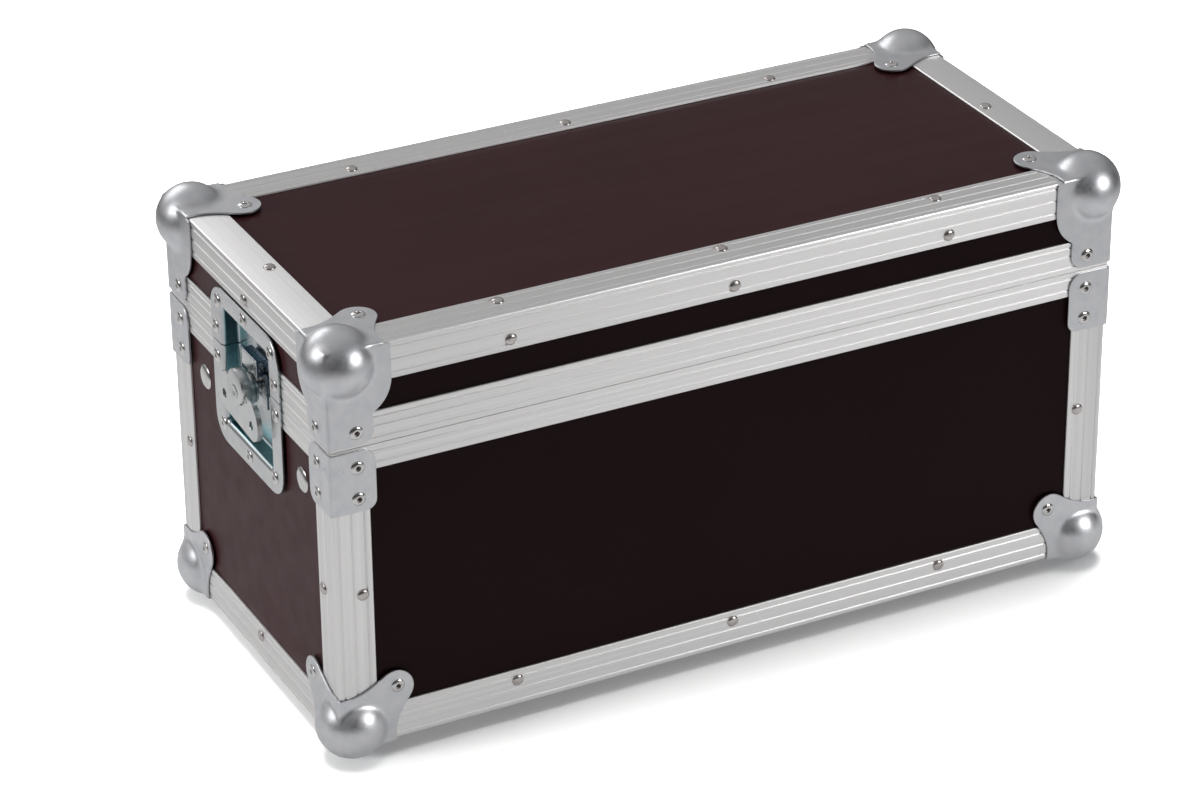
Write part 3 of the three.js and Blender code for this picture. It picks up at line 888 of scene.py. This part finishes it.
latch = {
    "height": 194.5,
    "restTurn": -4.9,
    "steps": 48,
    "sharpAngle": 35,
    "chamfer": 0.25,
    "clawWidth": 23,
    "clawWall": 1.4,
    "clawFace": 2.7,  # below the flange's face
    "clawFloorGap": 1.6,
    "clawStep": 11.7,  # over the spindle's axis
    "clawBase": 1,  # under the step, where its bend begins
    "clawFoot": 12,  # under the axis
    "clawBend": 0.9,
    "forkHalf": 4.7,
    "hook": 8.1,  # over the split
    "hookWall": 1.8,
    "keeperLip": 3.7,
    "hookPastLip": 2.3,
    "drumRadius": 10.5,
    "drumRise": 3.8,
    "drumNeck": 0.9,
    "drumChamfer": 0.5,
    "drumGroove": 0.8,
    "drumGrooveDepth": 2,
    "drumGrooveAt": 0.42,  # of its length
    "camRadius": 11.5,
    "camOffset": 3.5,
    "camThickness": 6.7,
    "camProud": 7.8,
    "camChamfer": 0.9,
    "camBulge": 0.3,  # of the chamfer
    "camBack": 0.3,
    "bore": 4.3,
}


def spinProfile(points, steps):
    bm = bmesh.new()
    verts = [bm.verts.new((radius, 0, along)) for radius, along in points]
    chain = [bm.edges.new(pair) for pair in zip(verts, verts[1:])]
    bmesh.ops.spin(
        bm, geom=verts + chain, cent=(0, 0, 0), axis=(0, 0, 1), dvec=(0, 0, 0),
        angle=2 * math.pi, steps=steps, use_merge=True, use_duplicate=False,
    )
    bmesh.ops.remove_doubles(bm, verts=bm.verts, dist=0.001)
    bmesh.ops.recalc_face_normals(bm, faces=bm.faces)
    return bm


# Turns a lathed shape so that its axis points out of a side, at a place on that side.
def outOf(x, depth, height):
    return Matrix.Translation((x, depth, height)) @ Matrix.Rotation(math.pi / 2, 4, "X")


def latchDepths():
    face = plate["face"]
    floor = face + dish["depth"]
    clawFloor = floor - latch["clawFloorGap"]
    camFace = face - latch["camProud"]
    return {
        "floor": floor,
        "clawFloor": clawFloor,
        "clawFace": face + latch["clawFace"],
        "camFace": camFace,
        "camBack": camFace + latch["camThickness"],
        "drumBottom": clawFloor - latch["clawWall"] - latch["drumRise"],
        "keeperEnd": floor - clearance - latch["keeperLip"],
    }


def drumShape():
    size, depths = latch, latchDepths()
    length = depths["drumBottom"] - depths["camBack"]
    radius, groove, bore = size["drumRadius"], size["drumGroove"], size["bore"]
    middle, top = length * size["drumGrooveAt"], length - clearance
    neck, waist, chamfer = radius - size["drumNeck"], radius - size["drumGrooveDepth"], size["drumChamfer"]
    body = spinProfile([
        (bore, 0), (neck - chamfer, 0), (neck, chamfer), (neck, middle - groove),
        (waist, middle - groove / 2), (waist, middle + groove / 2), (radius, middle + groove),
        (radius, top), (bore, top), (bore, 0),
    ], size["steps"])
    bm = bmesh.new()
    addTo(bm, body, outOf(0, depths["drumBottom"], 0))
    cam, thick, edge, back = size["camRadius"], size["camThickness"], size["camChamfer"], size["camBack"]
    bulge = edge * size["camBulge"]
    disc = spinProfile([
        (0, 0), (cam - back, 0), (cam, back), (cam, thick - edge), (cam - bulge, thick - bulge),
        (cam - edge, thick), (0, thick),
    ], size["steps"])
    addTo(bm, disc, outOf(0, depths["camBack"], size["camOffset"]))
    return bm


# Profiles of the foot, and of the riveted head as distances past the radius and the length.
spindle = {
    "radius": 4,
    "foot": ((0, 0), (9, 0), (9, 0.6), (8.7, 0.9)),
    "head": ((0, 0.12), (0.4, 0.12), (0.5, 0.25), (0.2, 0.4), (-1.2, 0.45), (-1.7, 0.1), (-4, 0.05)),
}


def spindleShape():
    bottom = latchDepths()["floor"] - clearance
    length, radius = bottom - latchDepths()["camFace"], spindle["radius"]
    profile = [*spindle["foot"], (radius, spindle["foot"][-1][1])]
    profile += [(radius + out, length + up) for out, up in spindle["head"]]
    bm = bmesh.new()
    addTo(bm, spinProfile(profile, latch["steps"]), outOf(0, bottom, latch["height"]))
    return bm


wing = {
    "wall": 1.4,
    "belowCam": 1.9,
    "holeSpacing": 41.6,
    "holeRadius": 3,
    "holeDrop": 13.5,
    "lobeRadius": 10.2,
    "shoulder": 3,
    "shoulderWidth": 40,
    "shoulderFall": 4,
    "notchGap": 0.7,
    "notchEnd": -89,  # degrees, where the notch's two halves meet
    "skirt": 3.4,
    "skirtOutside": 1.5,  # past the hole's middle
    "skirtBelow": 0.8,  # under the shoulder
    "serration": 0.32,
    "serrationIn": 0.4,  # of the serration
    "pinRadius": 1.5,
    "pinInside": 3,
    "pinGrip": 2,
    "pinSteps": 14,
}


def wingOutline():
    size = wing
    round, middle = latch["camRadius"] + size["notchGap"], latch["camOffset"]
    lobe, radius, drop = size["holeSpacing"] / 2, size["lobeRadius"], size["holeDrop"]
    edge, top = lobe + radius, size["shoulder"]
    start = math.degrees(math.asin((top - middle) / round))
    notch = arc(0, middle, round, start, size["notchEnd"], steps=14)
    fall = (edge, top - size["shoulderFall"])
    outer = curveThrough((size["shoulderWidth"] / 2, top), fall, (edge, -drop), steps=16)
    outer += arc(lobe, -drop, radius, 0, -90, steps=12)
    left = [(-x, z) for x, z in notch[::-1] + outer]
    return withoutRepeats(notch + left + outer[::-1])


def wingShape():
    size, depths = wing, latchDepths()
    outerDepth = depths["camFace"] + size["belowCam"]
    lobe, drop = size["holeSpacing"] / 2, size["holeDrop"]
    bm = bmesh.new()
    loops = [wingOutline()]
    for way in (-1, 1):
        loops.append(arc(way * lobe, -drop, size["holeRadius"], 0, 360, steps=20)[:-1])
    edges = []
    for points in loops:
        verts = [bm.verts.new((x, outerDepth, z)) for x, z in points]
        edges += [bm.edges.new(pair) for pair in zip(verts, verts[1:] + verts[:1])]
    bmesh.ops.triangle_fill(bm, edges=edges, use_beauty=True, use_dissolve=False, normal=(0, -1, 0))
    faceOutwards(bm)
    # The lobes' outer edges are folded inwards as a serrated skirt.
    outside = [
        edge for edge in bm.edges if edge.is_boundary
        and min(abs(vert.co.x) for vert in edge.verts) > lobe + size["skirtOutside"]
        and max(vert.co.z for vert in edge.verts) < size["shoulder"] - size["skirtBelow"]
    ]
    grown = bmesh.ops.extrude_edge_only(bm, edges=outside)
    hanging = [vert for vert in grown["geom"] if isinstance(vert, bmesh.types.BMVert)]
    for vert in hanging:
        vert.co.y += size["skirt"]
    outwards, inwards = size["serration"], -size["serration"] * size["serrationIn"]
    for way in (-1, 1):
        own = sorted((vert for vert in hanging if vert.co.x * way > 0), key=lambda vert: vert.co.z)
        for count, vert in enumerate(own):
            out = (vert.co - Vector((way * lobe, vert.co.y, -drop))).normalized()
            vert.co += out * (outwards if count % 2 else inwards)
    thicken(bm, size["wall"], latch["chamfer"])
    cam = latch["camRadius"]
    reach = math.sqrt(cam ** 2 - latch["camOffset"] ** 2) - size["pinInside"]
    length, radius = cam + size["notchGap"] + size["pinGrip"] - reach, size["pinRadius"]
    for way in (-1, 1):
        pin = spinProfile([(0, 0), (radius, 0), (radius, length), (0, length)], size["pinSteps"])
        turn = Matrix.Rotation(way * math.pi / 2, 4, "Y")
        addTo(bm, pin, Matrix.Translation((way * reach, outerDepth + size["wall"] / 2, 0)) @ turn)
    return bm


# A path of (depth, height) points with its corners rounded by the bend's radius.
def bentPath(points, radius, steps=4):
    path = [points[0]]
    for before, corner, after in zip(points, points[1:], points[2:]):
        first, second = Vector(before) - Vector(corner), Vector(after) - Vector(corner)
        start = Vector(corner) + first.normalized() * radius
        end = Vector(corner) + second.normalized() * radius
        path += curveThrough(tuple(start), corner, tuple(end), steps)
    return path + [points[-1]]


# A forked strip that stands on the spindle, steps out over the split and ends in a hook.
def clawShape():
    size, depths = latch, latchDepths()
    wall, half, fork = size["clawWall"], size["clawWidth"] / 2, size["forkHalf"]
    axis = size["height"]
    foot, step = axis - size["clawFoot"], axis + size["clawStep"]
    back, front, top = depths["clawFloor"] - wall, depths["clawFace"], step - size["clawBase"]
    hook = case["split"] + size["hook"] + size["hookWall"]
    outline = [(-half, foot), (-fork, foot)] + arc(0, axis, fork, 180, 0, steps=12)
    outline += [(fork, foot), (half, foot), (half, top), (-half, top)]
    bm = bmesh.new()
    base = bm.faces.new([bm.verts.new((x, back, z)) for x, z in outline])
    leading = [max(base.edges, key=lambda edge: sum(vert.co.z for vert in edge.verts))]
    tip = (depths["keeperEnd"] + size["hookPastLip"], hook)
    path = [(back, top), (back, step), (front, step), (front, hook), tip]
    for depth, height in withoutRepeats(bentPath(path, size["clawBend"]))[1:]:
        grown = bmesh.ops.extrude_edge_only(bm, edges=leading)
        leading = [
            item for item in grown["geom"]
            if isinstance(item, bmesh.types.BMEdge) and item.is_boundary and item.calc_length() > half
        ]
        for vert in leading[0].verts:
            vert.co.y, vert.co.z = depth, height
    bmesh.ops.recalc_face_normals(bm, faces=bm.faces)
    bm.normal_update()
    if base.normal.y > 0:
        bmesh.ops.reverse_faces(bm, faces=bm.faces)
    thicken(bm, wall, latch["chamfer"])
    return bm


keeper = {"width": 22, "aboveSplit": 1.2, "wall": 1.5, "lipEdge": 0.4, "lipFillet": 0.8}


def keeperShape():
    wall, edge, fillet = keeper["wall"], keeper["lipEdge"], keeper["lipFillet"]
    back, end = latchDepths()["floor"] - clearance, latchDepths()["keeperEnd"]
    foot, top = case["split"] + keeper["aboveSplit"], case["split"] + latch["hook"] - clearance
    section = [
        (back - wall, foot), (back, foot), (back, top), (end + edge, top), (end, top - edge),
        (end, top - wall), (back - wall - fillet, top - wall), (back - wall, top - wall - fillet),
    ]
    return runProfile(section, -keeper["width"] / 2, keeper["width"] / 2)


def latchPieces():
    shapes = {
        "spindle": (spindleShape(), "base", False),
        "claw": (clawShape(), "{}_claw", False),
        "drum": (drumShape(), "{}_drum", True),
        "wing": (wingShape(), "{}_wing", True),
    }
    atRest = Matrix.Rotation(-math.radians(latch["restTurn"]), 4, "Y")
    turning = Matrix.Translation((0, 0, latch["height"])) @ atRest
    for end in ends:
        for kind, (shape, body, turns) in shapes.items():
            bm = shape.copy()
            settle(bm, sideFrame(end) @ (turning if turns else Matrix()), latch["sharpAngle"])
            node = f"latch_{end}_{kind}"
            finish = finishes["claw" if kind == "claw" else "latch"]
            makePiece(f"{node}_steel", bm, finish, body.format(end), (node,))
        bm = keeperShape()
        settle(bm, sideFrame(end))
        node = f"lid_{end}_keeper"
        makePiece(f"{node}_steel", bm, finishes["claw"], "lid", (node,))


# Lathed profiles as (radius, height over the surface): a solid rivet, a blind rivet and the broken
# pin left in it, the pressed hole beside a brace's upper rivet, a rivet's tail, a coach bolt's head,
# and its washer, nut and end.
fasteners = {
    "dome": (20, ((0, -0.2), (4, -0.2), (4, 0.15), (3.7, 0.7), (2.9, 1.25), (1.6, 1.6), (0, 1.7))),
    "blind": (20, (
        (0, -2.6), (2.3, -2.6), (2.3, -0.2), (4.6, -0.2), (4.6, 0.15), (4.35, 0.5), (3.6, 0.9),
        (2.7, 1.2), (2.1, 1.28), (1.7, 1.15), (1.55, 0.8), (1.5, -2.3), (0, -2.3),
    )),
    "pin": (12, ((0, -2.2), (1.4, -2.2), (1.4, 0), (1, 0.15), (0, 0.1))),
    "dimple": (16, (
        (0, -1.2), (1.7, -1.2), (2, -0.1), (1.9, 0.12), (1.4, 0.12), (1, -0.2), (0.9, -1), (0, -1),
    )),
    "tail": (14, ((0, -0.2), (3.4, -0.2), (3.5, 0.5), (3, 1.1), (1.6, 1.3), (1.4, 0.9), (0, 0.9))),
    "bolt": (32, ((0, -0.2), (8.25, -0.2), (8.25, 0.15), (7.7, 0.75), (5.8, 1.45), (3, 1.85), (0, 2))),
    "washer": (28, ((0, -0.2), (8, -0.2), (8, 0.9), (7.6, 1.1), (0, 1.1))),
    "nut": (6, ((0, 0), (5.6, 0), (5.6, 4), (5, 4.6), (0, 4.6))),
    "end": (16, ((0, 0), (3, 0), (3, 2), (2.6, 2.4), (0, 2.4))),
}
# Where the fasteners are, in from the box's edges and up from its underside.
rivets = {
    "longEdge": (-152, 0, 152),
    "edgeIn": 17.7,
    "postHeight": 107,
    "postIn": 18,
    "braceIn": 17,
    "braceHeights": (195, 174),
    "dimpleIn": 6.5,
    "legHeight": 218.5,
    "legIn": 17,
    "lobe": 38,
    "dish": ((41, 43), (0, 47.7), (45.5, 23.5), (45.5, 3), (40.2, -42.4), (0, -47)),
    "dishMiddle": 194,
    "bolts": (76, 167),
    "panelBack": 8.8,
    "plywood": 7,
    "rimReach": 16,  # either side of the split, where a tail is behind a rim
    "nutHeight": 1,
    "endHeight": 5,
}


def fastener(kind):
    steps, profile = fasteners[kind]
    return spinProfile(profile, steps)


def washerAndNut():
    bm = fastener("washer")
    for kind in ("nut", "end"):
        addTo(bm, fastener(kind), Matrix.Translation((0, 0, rivets[kind + "Height"])))
    return bm


# Places on a side, and on the top or bottom, where a fastener's axis points out of the case.
def onSide(side, x, depth, height, inwards=False):
    turn = Matrix.Rotation(math.pi, 4, "X") if inwards else Matrix()
    return sideFrame(side) @ outOf(x, depth, height) @ turn


def onDeck(x, y, atTop, depth, inwards=False):
    height = case["bottom"] + (case["height"] - depth if atTop else depth)
    turn = Matrix.Rotation(math.pi, 4, "X") if atTop == inwards else Matrix()
    return Matrix.Scale(mm, 4) @ Matrix.Translation((x, y, height)) @ turn


def rivetPieces():
    size, back, face = rivets, rivets["panelBack"], plate["face"]
    split, height = case["split"], case["height"]
    length, width = case["halfLength"], case["halfWidth"]
    edge, lobe, bothWays = size["edgeIn"], size["lobe"], (-1, 1)
    places = {(part, kind): [] for part in ("base", "lid") for kind in ("dome", "blind", "tail")}
    dimples = []

    def addSide(part, kind, side, x, z):
        places[part, kind].append(onSide(side, x, face if kind == "blind" else 0, z))
        inside = rim["back"] if abs(z - split) < size["rimReach"] else back
        places[part, "tail"].append(onSide(side, x, inside, z, True))

    def addDeck(part, kind, x, y):
        atTop = part == "lid"
        places[part, kind].append(onDeck(x, y, atTop, face if kind == "blind" else 0))
        places[part, "tail"].append(onDeck(x, y, atTop, back, True))

    for side, half in {"front": length, "back": length, "left": width, "right": width}.items():
        for x in (0,) if side in ends else size["longEdge"]:
            addSide("base", "dome", side, x, edge)
            addSide("lid", "dome", side, x, height - edge)
        for way in bothWays:
            addSide("base", "dome", side, way * (half - size["postIn"]), size["postHeight"])
            for z in size["braceHeights"]:
                addSide("base", "blind", side, way * (half - size["braceIn"]), z)
            dimples.append(onSide(side, way * (half - size["dimpleIn"]), face, size["braceHeights"][0]))
            addSide("lid", "blind", side, way * (half - size["legIn"]), size["legHeight"])
            addSide("base", "blind", side, way * (half - lobe), lobe)
    for part in ("base", "lid"):
        for way in bothWays:
            for x in size["longEdge"]:
                addDeck(part, "dome", x, way * (width - edge))
            addDeck(part, "dome", way * (length - edge), 0)
            for other in bothWays:
                addDeck(part, "blind", way * (length - lobe), other * (width - lobe))
    for end in ends:
        for x, z in size["dish"]:
            part = "lid" if size["dishMiddle"] + z > split else "base"
            for way in bothWays if x else (1,):
                addSide(part, "blind", end, way * x, size["dishMiddle"] + z)
    names = {"dome": "solid_rivets", "blind": "blind_rivets", "tail": "rivet_tails"}
    for (part, kind), spots in places.items():
        finish = finishes["head" if kind == "blind" else "rivet"]
        makePiece(f"{part}_{names[kind]}", scatter(fastener(kind), spots), finish, part)
        if kind == "blind":
            # The pins' near-black finish is painted shade in the rivets' holes.
            pins = scatter(fastener("pin"), spots)
            makePiece(f"{part}_rivet_pins", pins, finishes["pin"], part)
    x, z = size["bolts"]
    heads = [onSide(end, way * x, back - size["plywood"], z) for end in ends for way in bothWays]
    nuts = [onSide(end, way * x, back, z, True) for end in ends for way in bothWays]
    for name, template, spots, finish in (
        ("base_brace_dimples", fastener("dimple"), dimples, "corner"),
        ("base_coach_bolts", fastener("bolt"), heads, "head"),
        ("base_bolt_nuts", washerAndNut(), nuts, "corner"),
    ):
        makePiece(name, scatter(template, spots), finishes[finish], "base")


for label, build in (
    ("edges", edgePieces), ("posts", postPieces), ("rims", rimPieces), ("corners", cornerPieces),
    ("dishes", dishPieces), ("latches", latchPieces), ("rivets", rivetPieces),
):
    build()
    print(label, "made")


studio = {
    "floorSize": 40,
    "floorWhite": 1.35,
    "floorGrey": 0.26,  # of the floor as everything but the camera sees it
    "greyGlow": 0.3,
    "floorNear": 0.6,
    "floorFar": 1.7,
    "farLevel": 0.12,
    "brightSide": (-0.1, 0.5, 0.86),
    "horizon": 0.05,
    "ceiling": 0.48,
    "ceilingFrom": 0.8,
}


# What the camera sees directly, and what everything else sees.
def splitBySight(tree, seen, other, output):
    path = addNode(tree, "LightPath").outputs["Is Camera Ray"]
    mixed = addNode(tree, "MixShader", path, other.outputs[0], seen.outputs[0])
    addNode(tree, output, mixed.outputs[0])


def clearedTree(holder):
    holder.use_nodes = True
    holder.node_tree.nodes.clear()
    return holder.node_tree


# White to the eye with a soft shadow, and greyer and fading with distance in reflections.
def floorFinish():
    material = bpy.data.materials.new("paleFloor")
    tree = clearedTree(material)
    level = studio["floorWhite"]
    white = addNode(tree, "BsdfDiffuse", Color=(level, level, level, 1))
    place = addNode(tree, "TexCoord").outputs["Object"]
    reach = addNode(tree, "VectorMath", place, operation="LENGTH").outputs["Value"]

    def fading(level):
        return remap(
            tree, reach, level, level * studio["farLevel"], studio["floorNear"], studio["floorFar"]
        )

    matt = addNode(tree, "BsdfDiffuse", Color=fading(studio["floorGrey"]))
    glow = addNode(tree, "Emission", Color=(1, 1, 1, 1), Strength=fading(studio["greyGlow"]))
    grey = addNode(tree, "AddShader", matt.outputs[0], glow.outputs[0])
    splitBySight(tree, white, grey, "OutputMaterial")
    return material


def stageFloor():
    bm = bmesh.new()
    bmesh.ops.create_grid(bm, x_segments=1, y_segments=1, size=studio["floorSize"] / 2)
    newObject("floor", bm, floorFinish())


# The room is dark on the near side and lighter overhead and behind; the backdrop is plain white.
def stageWorld():
    world = bpy.data.worlds.new("studio")
    bpy.context.scene.world = world
    tree = clearedTree(world)
    direction = addNode(tree, "TexCoord").outputs["Generated"]
    side = addNode(tree, "VectorMath", direction, studio["brightSide"], operation="DOT_PRODUCT")
    level = remap(
        tree, side.outputs["Value"], studio["horizon"], studio["ceiling"], 0, studio["ceilingFrom"]
    )
    seen = addNode(tree, "Background", Color=(1, 1, 1, 1), Strength=1.0)
    room = addNode(tree, "Background", Color=(1, 1, 1, 1), Strength=level)
    splitBySight(tree, seen, room, "OutputWorld")


# Three soft boxes make the highlights in the metal, and two lamps light everything matt.
lights = {
    "leftSoftbox": {"towards": (-0.844, 0.103, 0.526), "far": 2.6, "size": (1.0, 1.0), "power": 11},
    "backSoftbox": {"towards": (-0.216, 0.795, 0.558), "far": 2.8, "size": (1.6, 1.3), "power": 11},
    "rightSoftbox": {"towards": (0.529, -0.75, 0.386), "far": 2.6, "size": (1.0, 1.0), "power": 23},
}
mattLamps = {
    "floorLamp": {"towards": (0.02, 0.17, 0.985), "far": 2, "spread": 32, "strength": 3.3},
    "sideLamp": {"towards": (-0.985, 0.05, 0.13), "far": 2, "spread": 20, "strength": 5},
}


def placeLamp(name, data, towards, far):
    lamp = bpy.data.objects.new(name, data)
    bpy.context.scene.collection.objects.link(lamp)
    direction = Vector(towards).normalized()
    lamp.location = direction * far
    lamp.rotation_euler = direction.to_track_quat("Z", "Y").to_euler()
    return lamp


def stageLights():
    for name, spec in lights.items():
        data = bpy.data.lights.new(name, "AREA")
        data.shape = "RECTANGLE"
        data.size, data.size_y = spec["size"]
        data.energy = spec["power"]
        placeLamp(name, data, spec["towards"], spec["far"]).visible_diffuse = False
    for name, spec in mattLamps.items():
        data = bpy.data.lights.new(name, "SUN")
        data.angle = math.radians(spec["spread"])
        data.energy = spec["strength"]
        placeLamp(name, data, spec["towards"], spec["far"]).visible_glossy = False


cameraSpot = {
    "azimuth": -26.844,
    "elevation": 27.847,
    "roll": -0.542,
    "distance": 2.7525,
    "aim": (-0.03029, 0, 0.13683),
    "lens": 128.28,
    "sensor": 36,
}


def stageCamera():
    spot = cameraSpot
    across, up, roll = (math.radians(spot[key]) for key in ("azimuth", "elevation", "roll"))
    back = Vector((math.sin(across) * math.cos(up), -math.cos(across) * math.cos(up), math.sin(up)))
    right = (-back).cross(Vector((0, 0, 1))).normalized()
    above = right.cross(-back)
    sideways = right * math.cos(roll) + above * math.sin(roll)
    upwards = above * math.cos(roll) - right * math.sin(roll)
    data = bpy.data.cameras.new("camera")
    data.lens, data.sensor_width = spot["lens"], spot["sensor"]
    camera = bpy.data.objects.new("camera", data)
    bpy.context.scene.collection.objects.link(camera)
    turn = Matrix((sideways, upwards, back)).transposed().to_4x4()
    camera.matrix_world = Matrix.Translation(Vector(spot["aim"]) + back * spot["distance"]) @ turn
    bpy.context.scene.camera = camera


stageFloor()
stageWorld()
stageLights()
stageCamera()
bpy.context.scene.view_settings.view_transform = "Standard"
print("studio set")
